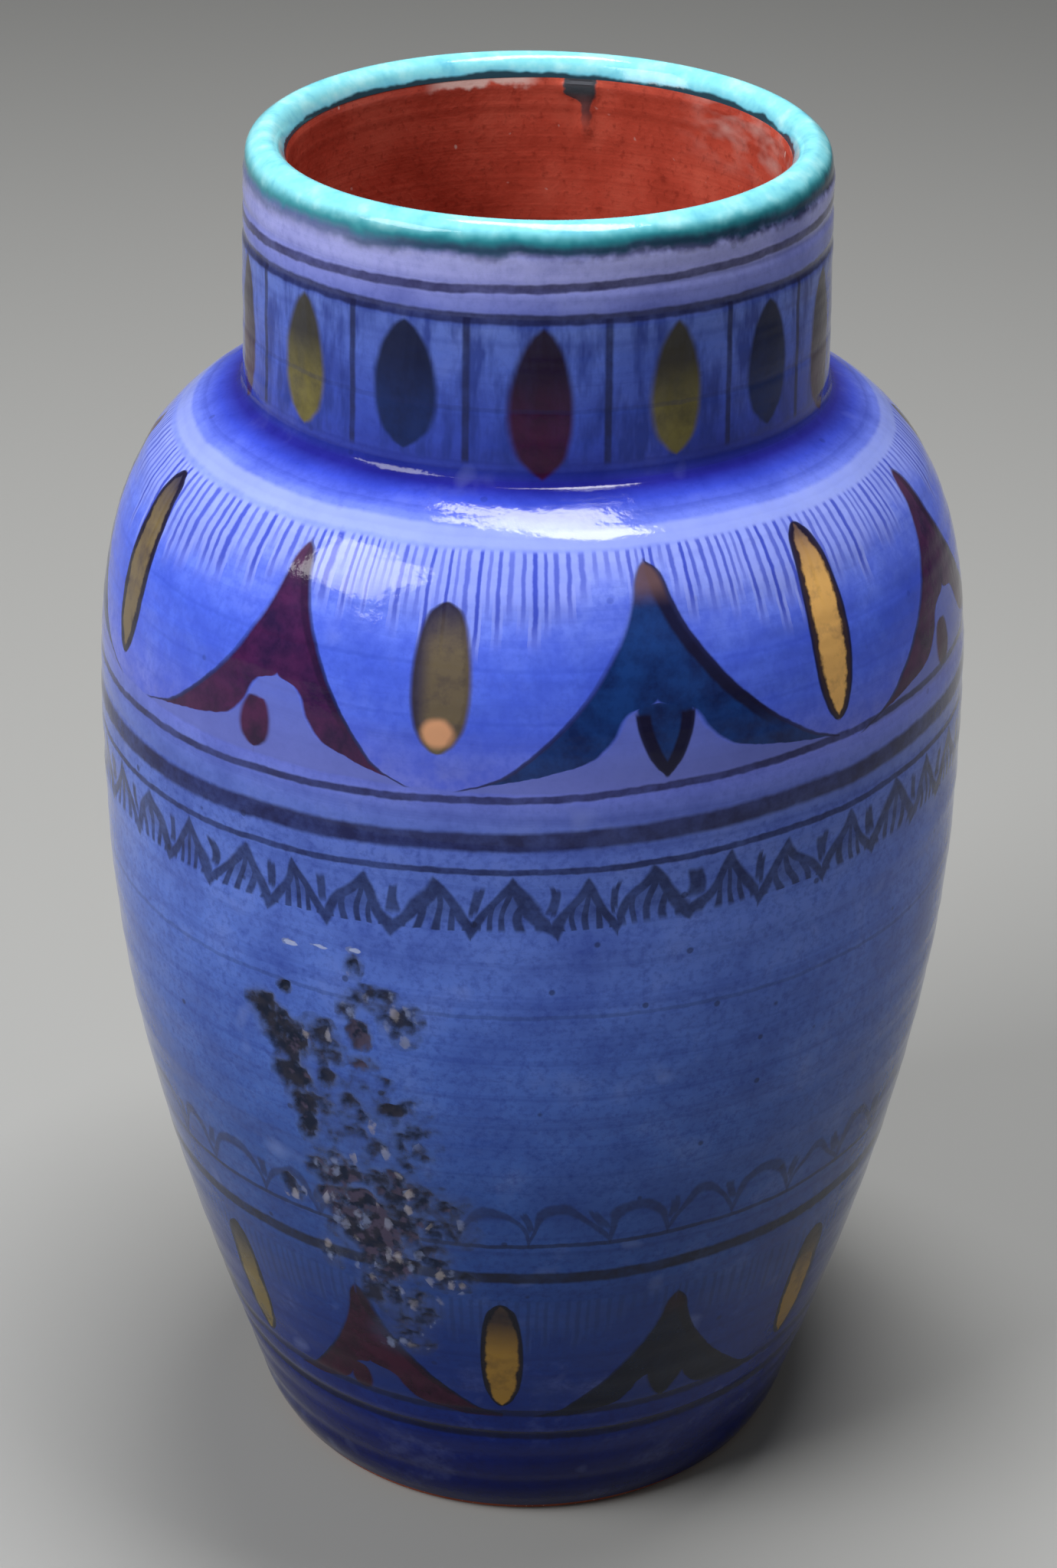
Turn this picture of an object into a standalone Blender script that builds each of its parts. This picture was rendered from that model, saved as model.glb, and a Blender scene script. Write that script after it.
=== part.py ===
# Baluster vase of red earthenware: three thrown sections, luted with slip and coated with glaze.
# Metres, +Z up. The origin is the centre of the ring that the foot stands on.

import math

import bpy
import numpy as np
from mathutils import Vector
from mathutils.geometry import interpolate_bezier

# Outside of the finished vase, over the glaze
BELLY_HEIGHT = 0.143
SHOULDER_HEIGHT = 0.0838
NECK_HEIGHT = 0.0467
BELLY_RADIUS = 0.0842
MOUTH_RADIUS = 0.0454
LIP_WIDTH = 0.0083
LIP_RISE = 0.007
NECK_FLARE = 0.0011

# Foot and floor
FOOT_RING_RADIUS = 0.0545
FOOT_RING_WIDTH = 0.0075
FOOT_RECESS = 0.003
FLOOR = 0.0075
FLOOR_ROUND = 0.014
GLAZE_LINE = 0.002
GLAZE_STEP = 0.0012
FOOT_ROUND_HEIGHT = 0.006
FOOT_ROUND_WIDTH = 0.0025

# How the outline leaves and reaches those points: angles, and how far each tangent pulls
FOOT_ROUND_PULL = 0.003
FOOT_LEAN = math.radians(16)
FOOT_PULL = 0.022
BELLY_PULL_DOWN = 0.055
BELLY_PULL_UP = 0.037
SHOULDER_FALL = math.radians(17)
SHOULDER_PULL = 0.0315

# Thicknesses, and the gap left between neighbouring pieces
CLEARANCE = 0.0003
GLAZE = 0.0008
LINER = 0.0006
WALL = 0.0056
SLIP = 0.001

# Joints between the thrown sections
JOINT_ABOVE_BELLY = 0.0285
TONGUE = 0.005
SEAT_DROP = 0.0022
SPIGOT_WALL = 0.0034

# Fineness of the turned surfaces
TURN_STEPS = 40
FOOT_POINTS = 4
WALL_POINTS = 9
SHOULDER_POINTS = 10
FLOOR_ROUND_POINTS = 5
LIP_POINTS = 9
SHORTEST_RUN = 0.0002
CORNER_ANGLE = math.radians(35)

TERRACOTTA = (0.36, 0.075, 0.035, 1.0)
SLIP_CLAY = (0.42, 0.13, 0.07, 1.0)
COBALT = (0.036, 0.065, 0.33, 1.0)
TURQUOISE = (0.10, 0.58, 0.62, 1.0)
LINING = (0.30, 0.05, 0.025, 1.0)

# Heights and radii that follow from those sizes
CREASE_HEIGHT = BELLY_HEIGHT + SHOULDER_HEIGHT
RIM_HEIGHT = CREASE_HEIGHT + NECK_HEIGHT
LIP_BASE = RIM_HEIGHT - LIP_RISE
NECK_TOP_RADIUS = MOUTH_RADIUS + LIP_WIDTH
NECK_FOOT_RADIUS = NECK_TOP_RADIUS + NECK_FLARE
GLAZE_LINE_RADIUS = FOOT_RING_RADIUS + GLAZE_STEP
WALL_FOOT_RADIUS = GLAZE_LINE_RADIUS + FOOT_ROUND_WIDTH
WALL_FOOT_HEIGHT = GLAZE_LINE + FOOT_ROUND_HEIGHT
BELLY_JOINT_HEIGHT = BELLY_HEIGHT + JOINT_ABOVE_BELLY


def curve(start, start_pull, end_pull, end, count):
    return [Vector(p) for p in interpolate_bezier(start, start_pull, end_pull, end, count)]


def body_outline():
    """Points (radius, height) up the glazed outside, from the glaze line to the crease at the neck."""
    line = Vector((GLAZE_LINE_RADIUS, GLAZE_LINE))
    foot = Vector((WALL_FOOT_RADIUS, WALL_FOOT_HEIGHT))
    belly = Vector((BELLY_RADIUS, BELLY_HEIGHT))
    crease = Vector((NECK_FOOT_RADIUS, CREASE_HEIGHT))
    up = Vector((0, 1))
    lean = Vector((math.sin(FOOT_LEAN), math.cos(FOOT_LEAN)))
    fall = Vector((math.cos(SHOULDER_FALL), -math.sin(SHOULDER_FALL)))
    outwards = (foot - line).normalized()
    foot_start = line + FOOT_ROUND_PULL * outwards
    foot_end = foot - FOOT_ROUND_PULL * lean
    wall_start = foot + FOOT_PULL * lean
    wall_end = belly - BELLY_PULL_DOWN * up
    shoulder_start = belly + BELLY_PULL_UP * up
    shoulder_end = crease + SHOULDER_PULL * fall
    foot_round = curve(line, foot_start, foot_end, foot, FOOT_POINTS)
    wall = curve(foot, wall_start, wall_end, belly, WALL_POINTS)
    shoulder = curve(belly, shoulder_start, shoulder_end, crease, SHOULDER_POINTS)
    return foot_round[:-1] + wall[:-1] + shoulder


OUTLINE = body_outline()


def coat(depth):
    """The outline moved in square to itself, to lie depth below the glazed surface."""
    moved = []
    for index, point in enumerate(OUTLINE):
        before = OUTLINE[max(index - 1, 0)]
        after = OUTLINE[min(index + 1, len(OUTLINE) - 1)]
        along = (after - before).normalized()
        moved.append(point + depth * Vector((-along.y, along.x)))
    return moved


def radius_at(run, height):
    return float(np.interp(height, [p.y for p in run], [p.x for p in run]))


def between(run, low, high):
    """The stretch of a rising run that lies between two heights."""
    inner = [p for p in run if low + SHORTEST_RUN < p.y < high - SHORTEST_RUN]
    return [Vector((radius_at(run, low), low)), *inner, Vector((radius_at(run, high), high))]


def inside(depth, floor):
    """From the axis across the floor, round its edge and up the inside of the wall to the crease."""
    wall = coat(depth)
    top = Vector((radius_at(wall, floor + FLOOR_ROUND), floor + FLOOR_ROUND))
    edge = Vector((top.x - FLOOR_ROUND, floor))
    corner = Vector((top.x, floor))
    floor_round = curve(edge, edge.lerp(corner, 0.6), top.lerp(corner, 0.6), top, FLOOR_ROUND_POINTS)
    return [Vector((0, floor)), *floor_round, *[p for p in wall if p.y > top.y + SHORTEST_RUN]]


def lip(inner_radius, outer_radius, rise):
    """Half an ellipse over the lip, from its inner foot to its outer foot."""
    middle = (inner_radius + outer_radius) / 2
    half = (outer_radius - inner_radius) / 2
    angles = [math.pi * step / (LIP_POINTS - 1) for step in range(LIP_POINTS)]
    return [Vector((middle - half * math.cos(a), LIP_BASE + rise * math.sin(a))) for a in angles]


# Depths below the glazed surface, and heights, that neighbouring pieces share
CLAY_OUT = GLAZE + CLEARANCE
CLAY_IN = CLAY_OUT + WALL
LINER_OUT = CLAY_IN + CLEARANCE
LINER_IN = LINER_OUT + LINER
TONGUE_OUT = CLAY_OUT + (WALL + CLEARANCE) / 2
RECESS_IN = CLAY_OUT + (WALL - CLEARANCE) / 2
CLAY_FLOOR = FOOT_RECESS + FLOOR
SHELF = BELLY_JOINT_HEIGHT - SLIP / 2 - CLEARANCE
SEAM = BELLY_JOINT_HEIGHT + SLIP / 2 + CLEARANCE
TONGUE_TOP = BELLY_JOINT_HEIGHT + TONGUE
RECESS_TOP = TONGUE_TOP + CLEARANCE
SEAT = CREASE_HEIGHT - SEAT_DROP
LEDGE = SEAT + SLIP + 2 * CLEARANCE
OPENING_BOTTOM = coat(CLAY_IN)[-1].y
BORE_RADIUS = MOUTH_RADIUS + LINER + CLEARANCE
SPIGOT_RADIUS = BORE_RADIUS + SPIGOT_WALL
OPENING_RADIUS = SPIGOT_RADIUS + CLEARANCE


def neck_radius(height):
    """Radius of the glazed neck, which narrows a little from the crease to the lip."""
    return float(np.interp(height, [CREASE_HEIGHT, LIP_BASE], [NECK_FOOT_RADIUS, NECK_TOP_RADIUS]))


def lower_body():
    hollow = [p for p in inside(CLAY_IN, CLAY_FLOOR) if p.y < TONGUE_TOP - SHORTEST_RUN]
    hollow.append(Vector((radius_at(coat(CLAY_IN), TONGUE_TOP), TONGUE_TOP)))
    tongue = between(coat(TONGUE_OUT), SHELF, TONGUE_TOP)
    outside = coat(CLAY_OUT)
    outside = between(outside, outside[0].y, SHELF)
    ring_inner = FOOT_RING_RADIUS - FOOT_RING_WIDTH
    foot = [
        Vector((FOOT_RING_RADIUS, 0)),
        Vector((ring_inner, 0)),
        Vector((ring_inner - FOOT_RECESS / 2, FOOT_RECESS)),
        Vector((0, FOOT_RECESS)),
    ]
    return hollow + tongue[::-1] + outside[::-1] + foot


def upper_body():
    outside = between(coat(CLAY_OUT), SEAM, SEAT)
    recess = between(coat(RECESS_IN), SEAM, RECESS_TOP)
    hollow = between(coat(CLAY_IN), RECESS_TOP, OPENING_BOTTOM)
    opening = [Vector((OPENING_RADIUS, OPENING_BOTTOM)), Vector((OPENING_RADIUS, SEAT))]
    return outside[::-1] + recess + hollow + opening


def neck_collar():
    spigot = [
        Vector((neck_radius(LEDGE) - CLAY_OUT, LEDGE)),
        Vector((SPIGOT_RADIUS, LEDGE)),
        Vector((SPIGOT_RADIUS, OPENING_BOTTOM)),
        Vector((BORE_RADIUS, OPENING_BOTTOM)),
    ]
    return lip(BORE_RADIUS, NECK_TOP_RADIUS - CLAY_OUT, LIP_RISE - CLAY_OUT) + spigot


def band(inner_radius, outer_radius, low, high):
    """Outline of a plain ring."""
    corners = [(outer_radius, high), (outer_radius, low), (inner_radius, low), (inner_radius, high)]
    return [Vector(corner) for corner in corners]


def belly_slip():
    inner_radius = radius_at(coat(RECESS_IN), BELLY_JOINT_HEIGHT)
    outer_radius = radius_at(coat(CLAY_OUT), BELLY_JOINT_HEIGHT)
    return band(inner_radius, outer_radius, SHELF + CLEARANCE, SEAM - CLEARANCE)


def neck_slip():
    return band(OPENING_RADIUS, neck_radius(LEDGE) - CLAY_OUT, SEAT + CLEARANCE, LEDGE - CLEARANCE)


def glaze_coat(low, high):
    """Skin of glaze between two heights on the body."""
    skin = coat(0)
    back = coat(GLAZE)
    back_low = max(low, back[0].y)
    back_high = min(high, back[-1].y)
    return between(skin, low, high)[::-1] + between(back, back_low, back_high)


def lower_glaze():
    return glaze_coat(GLAZE_LINE, BELLY_JOINT_HEIGHT - CLEARANCE / 2)


def shoulder_glaze():
    return glaze_coat(BELLY_JOINT_HEIGHT + CLEARANCE / 2, CREASE_HEIGHT)


def neck_glaze():
    low = CREASE_HEIGHT + CLEARANCE
    high = LIP_BASE - CLEARANCE
    skin = [Vector((neck_radius(high), high)), Vector((neck_radius(low), low))]
    back = [Vector((point.x - GLAZE, point.y)) for point in reversed(skin)]
    return skin + back


def rim_glaze():
    skin = lip(MOUTH_RADIUS, NECK_TOP_RADIUS, LIP_RISE)
    back = lip(MOUTH_RADIUS + LINER, NECK_TOP_RADIUS - GLAZE, LIP_RISE - GLAZE)
    return skin + back[::-1]


def inner_glaze():
    skin = inside(LINER_IN, CLAY_FLOOR + CLEARANCE + LINER)
    back = inside(LINER_OUT, CLAY_FLOOR + CLEARANCE)
    top = LIP_BASE - CLEARANCE
    skin_neck = [Vector((MOUTH_RADIUS, skin[-1].y)), Vector((MOUTH_RADIUS, top))]
    back_neck = [Vector((MOUTH_RADIUS + LINER, top)), Vector((MOUTH_RADIUS + LINER, back[-1].y))]
    return skin + skin_neck + back_neck + back[::-1]


def principled(name, colour, roughness):
    material = bpy.data.materials.new(name)
    material.use_nodes = True
    shader = material.node_tree.nodes["Principled BSDF"]
    shader.inputs["Base Color"].default_value = colour
    shader.inputs["Roughness"].default_value = roughness
    shader.inputs["Metallic"].default_value = 0.0
    return material


def turn(name, outline, colour, roughness, collection):
    """One named piece: its outline turned about +Z. An outline that starts on the axis ends there too."""
    count = len(outline)
    edges = [(index, index + 1) for index in range(count - 1)]
    if outline[0].x > 0:
        edges.append((count - 1, 0))
    mesh = bpy.data.meshes.new(name)
    mesh.from_pydata([(p.x, 0, p.y) for p in outline], edges, [])
    piece = bpy.data.objects.new(name, mesh)
    collection.objects.link(piece)
    screw = piece.modifiers.new("Turn", "SCREW")
    screw.axis = "Z"
    screw.angle = 2 * math.pi
    screw.steps = TURN_STEPS
    screw.render_steps = TURN_STEPS
    screw.use_merge_vertices = True
    screw.merge_threshold = 0.00001
    bpy.context.view_layer.objects.active = piece
    bpy.ops.object.modifier_apply(modifier=screw.name)
    mesh.shade_smooth()
    mesh.set_sharp_from_angle(angle=CORNER_ANGLE)
    mesh.materials.append(principled(name, colour, roughness))


def main():
    for old in list(bpy.data.objects):
        bpy.data.objects.remove(old)
    vase = bpy.data.collections.new("Baluster vase")
    bpy.context.scene.collection.children.link(vase)
    turn("lower_body", lower_body(), TERRACOTTA, 0.85, vase)
    turn("upper_body", upper_body(), TERRACOTTA, 0.85, vase)
    turn("neck_collar", neck_collar(), TERRACOTTA, 0.85, vase)
    turn("belly_slip", belly_slip(), SLIP_CLAY, 0.9, vase)
    turn("neck_slip", neck_slip(), SLIP_CLAY, 0.9, vase)
    turn("lower_glaze", lower_glaze(), COBALT, 0.12, vase)
    turn("shoulder_glaze", shoulder_glaze(), COBALT, 0.08, vase)
    turn("neck_glaze", neck_glaze(), COBALT, 0.12, vase)
    turn("rim_glaze", rim_glaze(), TURQUOISE, 0.12, vase)
    turn("inner_glaze", inner_glaze(), LINING, 0.35, vase)


main()
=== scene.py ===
import math
from functools import partial, reduce

import bmesh
import bpy
import numpy as np
from mathutils import Matrix, Vector, noise
from mathutils.geometry import interpolate_bezier


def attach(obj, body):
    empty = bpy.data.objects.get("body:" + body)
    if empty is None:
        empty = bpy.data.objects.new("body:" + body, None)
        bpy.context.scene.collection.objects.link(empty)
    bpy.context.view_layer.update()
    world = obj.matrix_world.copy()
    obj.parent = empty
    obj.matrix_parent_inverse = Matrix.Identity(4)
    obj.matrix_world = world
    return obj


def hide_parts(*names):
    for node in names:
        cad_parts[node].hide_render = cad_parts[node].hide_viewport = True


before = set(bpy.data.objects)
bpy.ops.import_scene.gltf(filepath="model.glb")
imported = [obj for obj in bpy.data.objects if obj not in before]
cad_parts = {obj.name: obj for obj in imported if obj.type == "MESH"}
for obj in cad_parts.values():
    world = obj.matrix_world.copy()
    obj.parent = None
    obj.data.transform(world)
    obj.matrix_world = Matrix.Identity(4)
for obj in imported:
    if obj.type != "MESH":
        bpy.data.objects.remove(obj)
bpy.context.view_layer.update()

scene = bpy.context.scene
mm = 0.001
up = Vector((0, 1))
flat = Vector((0, 0))  # way out of a point that stays as it was drawn


def linear(text):
    channels = [int(text[place : place + 2], 16) / 255 for place in (1, 3, 5)]
    return (*[c / 12.92 if c <= 0.04045 else ((c + 0.055) / 1.055) ** 2.4 for c in channels], 1.0)


def addNode(tree, kind, *values, points=None, stops=None, **settings):
    # kind may carry an operation, as in "VectorMath ADD", and one in capitals alone is Math's;
    # values fill the node's live inputs in order; points draw a curve, stops a ramp of colours or levels
    kind, *operation = ("Math " + kind if kind.isupper() else kind).split()
    node = tree.nodes.new("ShaderNode" + kind)
    if operation:
        node.operation = operation[0]
    for name, value in settings.items():
        setattr(node, name, value)
    if points:
        line = node.mapping.curves[0].points
        for place, point in enumerate(points):
            if place < 2:
                line[place].location = point
            else:
                line.new(*point)
        node.mapping.update()
    if stops:
        ramp = node.color_ramp.elements
        for place, (position, colour) in enumerate(stops):
            stop = ramp[place] if place < 2 else ramp.new(position)
            stop.position = position
            stop.color = linear(colour) if isinstance(colour, str) else (colour, colour, colour, 1.0)
    for socket, value in zip([s for s in node.inputs if s.enabled], values):
        if isinstance(value, bpy.types.NodeSocket):
            tree.links.new(value, socket)
        elif value is not None:
            socket.default_value = value
    return next(s for s in node.outputs if s.enabled)


# The outside as one run in millimetres: up the body, up the neck, over the lip to the mouth
vase = dict(
    glazeLine=Vector((55.7, 2.0)),
    wallFoot=Vector((58.2, 8.0)),
    belly=Vector((84.2, 143.0)),
    crease=Vector((54.8, 226.8)),
    neckTop=Vector((53.7, 266.5)),
    footPull=3.0, footLean=math.radians(16), wallPulls=(22.0, 55.0),
    shoulderFall=math.radians(17), shoulderPulls=(37.0, 31.5), creaseRound=2.2,
    lipWidth=8.3, lipRise=7.0, lipSteps=60, jointHeight=171.5,
    glaze=0.8, gap=0.3, wall=5.6,
    rimDip=0.034, rimDipFrom=250.0,  # how far the rim leans towards the front, per mm of reach
)
clayUnder = vase["glaze"] + vase["gap"]  # how deep the clay lies under the glaze's face


def bezier(start, startPull, endPull, end, count=80):
    return [Vector(p) for p in interpolate_bezier(start, startPull, endPull, end, count)]


def halfRound(first, last, base, rise, steps):
    # the rounded top of a lip, from one side to the other
    middle, half = (first + last) / 2, (last - first) / 2
    turns = [math.pi * step / steps for step in range(steps + 1)]
    return [Vector((middle - half * math.cos(t), base + rise * math.sin(t))) for t in turns]


def outsideRun():
    line, foot, belly = vase["glazeLine"], vase["wallFoot"], vase["belly"]
    crease, neckTop = vase["crease"], vase["neckTop"]
    lean = Vector((math.sin(vase["footLean"]), math.cos(vase["footLean"])))
    fall = Vector((math.cos(vase["shoulderFall"]), -math.sin(vase["shoulderFall"])))
    outwards = (foot - line).normalized()
    points = bezier(line, line + vase["footPull"] * outwards, foot - vase["footPull"] * lean, foot)
    leave, arrive = vase["wallPulls"]
    points += bezier(foot, foot + leave * lean, belly - arrive * up, belly)[1:]
    leave, arrive = vase["shoulderPulls"]
    shoulder = bezier(belly, belly + leave * up, crease + arrive * fall, crease)[1:]
    shoulder = [p for p in shoulder if (p - crease).length > vase["creaseRound"]]
    rise = crease + vase["creaseRound"] * (neckTop - crease).normalized()
    points += shoulder
    points += bezier(shoulder[-1], shoulder[-1].lerp(crease, 0.6), rise.lerp(crease, 0.6), rise, 12)[1:]
    inner = neckTop.x - vase["lipWidth"]
    return points + halfRound(neckTop.x, inner, neckTop.y, vase["lipRise"], vase["lipSteps"])


outside = outsideRun()
radii = np.array([p.x for p in outside])
heights = np.array([p.y for p in outside])
runs = np.concatenate([[0.0], np.cumsum(np.hypot(np.diff(radii), np.diff(heights)))])
lipStart = len(outside) - vase["lipSteps"] - 1
creasePlace = int(np.argmin(np.hypot(radii - vase["crease"].x, heights - vase["crease"].y)))
marks = dict(
    joint=float(np.interp(vase["jointHeight"], heights[:creasePlace], runs[:creasePlace])),
    crease=float(runs[creasePlace]),
    lip=float(runs[lipStart]),
    mouth=float(runs[-1]),
)
print("outline", {name: round(run, 2) for name, run in marks.items()})


def onOutside(run):
    return Vector((np.interp(run, runs, radii), np.interp(run, runs, heights)))


def onRun(run, depth=0.0):
    # place on the outside at a run, that far under the surface, with the way out of it
    reach = 0.15  # mm to either side, between which the slope is taken
    along = (onOutside(run + reach) - onOutside(run - reach)).normalized()
    outward = Vector((along.y, -along.x))
    return onOutside(run) - depth * outward, outward


shownSteps = 320  # faces round a piece that shows
layerNames = ("run", "outR", "outZ")


def turnPiece(outline, steps):
    # outline: closed list of (point, run, outward); an eighth of a turn, doubled three times
    bm = bmesh.new()
    layers = [bm.verts.layers.float.new(name) for name in layerNames]
    ring = []
    for point, run, outward in outline:
        vert = bm.verts.new((0, point.x * mm, point.y * mm))
        for layer, value in zip(layers, (run, outward.x, outward.y)):
            vert[layer] = value
        ring.append(vert)
    onAxis = outline[0][0].x == 0
    for place, vert in enumerate(ring[: -1 if onAxis else None]):
        bm.edges.new((vert, ring[(place + 1) % len(ring)]))
    share = math.tau / 8
    about = {"cent": (0, 0, 0), "axis": (0, 0, 1)}
    bmesh.ops.spin(bm, geom=bm.verts[:] + bm.edges[:], angle=share, steps=steps // 8, **about)
    for doubling in range(3):
        made = bmesh.ops.duplicate(bm, geom=bm.verts[:] + bm.edges[:] + bm.faces[:])["geom"]
        copied = [g for g in made if isinstance(g, bmesh.types.BMVert)]
        turned = Matrix.Rotation(share * 2**doubling, 3, "Z")
        bmesh.ops.rotate(bm, cent=(0, 0, 0), matrix=turned, verts=copied)
    bmesh.ops.remove_doubles(bm, verts=bm.verts, dist=0.000002)
    bmesh.ops.recalc_face_normals(bm, faces=bm.faces)
    return bm


def layersOf(bm):
    return [bm.verts.layers.float[name] for name in layerNames]


def unhandled(points):
    # an outline that the thrower's hand leaves alone, its run the height
    return [(p, p.y, flat) for p in points]


def coatOutline(low, high, spacing):
    # skin of glaze between two runs: its face, then its hidden back in few steps
    backCount = 20
    face = [(*onRun(run), run) for run in np.linspace(low, high, round((high - low) / spacing) + 1)]
    back = [(onRun(run, vase["glaze"])[0], flat, run) for run in np.linspace(high, low, backCount)]
    return [(point, run, outward) for point, outward, run in face + back]


def wayRound(vert):
    # angle in degrees from the front, to the right
    return math.degrees(math.atan2(vert.co.x, -vert.co.y))


# what the thrower's hands left, as noise: reach round, shift, reach per mm of run, size in mm
handMarks = [(0.9, 0, 0.013, 0.3), (0.3, 7, 0.2, 0.16), (0.5, 19, 0.75, 0.05)]


def wander(run, way):
    # out of round, throwing rings and finer lines, in mm
    x, y = Vector((math.cos(way), math.sin(way)))
    places = [Vector((x * wide, y * wide + shift, run * tall)) for wide, shift, tall, _ in handMarks]
    return sum(mark[3] * noise.noise(place) for mark, place in zip(handMarks, places))


def ease(value, low, high):
    share = min(max((value - low) / (high - low), 0.0), 1.0)
    return share * share * (3 - 2 * share)


def settle(bm):
    # the rim dips a little towards the front
    top = vase["neckTop"].y + vase["lipRise"]
    for vert in bm.verts:
        vert.co.z += vase["rimDip"] * vert.co.y * ease(vert.co.z / mm, vase["rimDipFrom"], top)


def shapeCoat(bm, grooves):
    # grooves: run, depth and half width of what the turning tool cut
    run, outR, outZ = layersOf(bm)
    for vert in bm.verts:
        if vert[outR] == 0 and vert[outZ] == 0:
            continue
        move = wander(vert[run], math.radians(wayRound(vert)))
        for level, depth, half in grooves:
            move -= depth * math.exp(-(((vert[run] - level) / half) ** 2))
        level = Vector((vert.co.x, vert.co.y, 0)).normalized()
        vert.co += (level * vert[outR] + Vector((0, 0, vert[outZ]))) * move * mm
    settle(bm)


def stripMap(bm, low, high, rows):
    # the painted face as rows of strip for the bake, its hidden back in a thin strip below them
    run, outR, outZ = layersOf(bm)
    layer = bm.loops.layers.uv.new("OFBake")
    hidden, margin = 0.04, 0.008
    tall = (1 - hidden) / rows
    for face in bm.faces:
        middle = face.calc_center_median()
        centre = math.degrees(math.atan2(middle.x, -middle.y)) % 360
        row = min(int(centre * rows / 360), rows - 1)
        shown = all(v[outR] != 0 or v[outZ] != 0 for v in face.verts)
        for loop in face.loops:
            away = (wayRound(loop.vert) - centre + 180) % 360 - 180
            across = (centre + away) * rows / 360 - row if shown else (centre + away) / 360
            rise = (loop.vert[run] - low) / (high - low)
            foot = hidden + row * tall if shown else 0.0
            height = tall - 2 * margin if shown else hidden - 2 * margin
            loop[layer].uv = (margin + across * (1 - 2 * margin), foot + margin + rise * height)


def finishPiece(name, bm, nodes, slot, material):
    mesh = bpy.data.meshes.new(name)
    bm.to_mesh(mesh)
    bm.free()
    mesh.shade_smooth()
    mesh.set_sharp_from_angle(angle=math.radians(40))
    mesh.materials.append(material)
    piece = bpy.data.objects.new(name, mesh)
    scene.collection.objects.link(piece)
    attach(piece, "root")
    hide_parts(*nodes)
    print("piece", name, len(mesh.polygons))


# Glaze, whole and flaked: how rough and how bright its mirror is, how specked, how dimpled
glazeLook = dict(roughness=0.1, specular=0.28, speckle=0.25, relief=0.35)
wornLook = dict(roughness=0.7, specular=0.2, speckle=0.6)


def newMaterial(name, roughness, specular=glazeLook["specular"]):
    material = bpy.data.materials.new(name)
    material.use_nodes = True
    shader = material.node_tree.nodes["Principled BSDF"]
    shader.inputs["Roughness"].default_value = roughness
    shader.inputs["Specular IOR Level"].default_value = specular
    return material, partial(addNode, material.node_tree), shader


def plug(shader, name, value):
    shader.id_data.links.new(value, shader.inputs[name])


def paintSpace(add):
    # where a spot lies: place in mm, angle round the vase, and run up its side with a hand's waver
    place = add("VectorMath SCALE", add("TexCoord").node.outputs["Object"], 1000.0)
    split = add("SeparateXYZ", place).node
    x, y = split.outputs["X"], split.outputs["Y"]
    angle = add("ARCTAN2", x, add("MULTIPLY", y, -1.0))
    run = add("Attribute", attribute_name="run").node.outputs["Fac"]
    waver = add("MULTIPLY_ADD", add("TexNoise", place, 1 / 22, 2.0), 1.3, -0.65)
    quiver = add("MULTIPLY_ADD", add("TexNoise", place, 1 / 2.2, 1.0), 0.5, waver)
    brush = add("TexNoise", place, 1 / 6, 4.0, 0.65)
    return {
        "place": place, "x": x, "y": y,
        "around": add("MULTIPLY_ADD", angle, 1 / math.tau, 0.5),
        "run": run,
        "handRun": add("ADD", run, add("SUBTRACT", quiver, 0.25)),
        "brush": brush,
        "load": add("MapRange", brush, 0.3, 0.62, 0.75, 1.0),
    }


def cover(under, over, mask, blend="MIX"):
    # paint over what is there, as far as the mask goes
    over = linear(over) if isinstance(over, str) else over
    return addNode(under.id_data, "Mix", mask, under, over, data_type="RGBA", blend_type=blend)


def within(value, full, none):
    # soft mask: one up to full and nothing from none on, or the other way about
    ends = (full, none, 1.0, 0.0)
    return addNode(value.id_data, "MapRange", value, *ends, interpolation_type="SMOOTHSTEP")


def times(*masks):
    return reduce(lambda one, other: addNode(one.id_data, "MULTIPLY", one, other), masks)


def either(*masks):
    return reduce(lambda one, other: addNode(one.id_data, "MAXIMUM", one, other), masks)


def between(value, low, fullFrom, fullTo, high):
    # soft mask at both ends
    return times(within(value, fullTo, high), within(value, fullFrom, low))


def awayFrom(value, centre):
    off = addNode(value.id_data, "SUBTRACT", value, centre)
    return addNode(value.id_data, "ABSOLUTE", off)


# Ground of the blue glaze by run: (run, colour). Near-black at the foot, palest on the shoulder:
# partly the glaze's own depth, partly painted shade low on the body and painted light on the shoulder
groundStops = [
    (0, "#010c4c"), (16, "#041864"), (26, "#092474"), (45, "#15307c"), (66, "#20428a"),
    (92, "#3155a0"), (130, "#5072cc"), (152, "#607fdc"), (165, "#5e7ad4"), (175, "#627ad6"),
    (184, "#7885ea"), (194, "#5c78f6"), (204, "#5a78fb"), (214, "#7a92ff"), (222, "#98aaff"),
    (231, "#6c80f0"), (235, "#4256dc"), (239, "#26219a"), (242, "#3a4ebc"), (250, "#445eca"),
    (260, "#5872d2"), (267, "#6882da"), (270, "#7e8ae0"), (274, "#969eec"), (277, "#b2b6fa"),
    (280, "#b8bcfa"),
]
groundSpan = 280.0
groundLook = dict(deep="#8793c0", pale="#b9c6f2", speck="#141a38")

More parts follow.
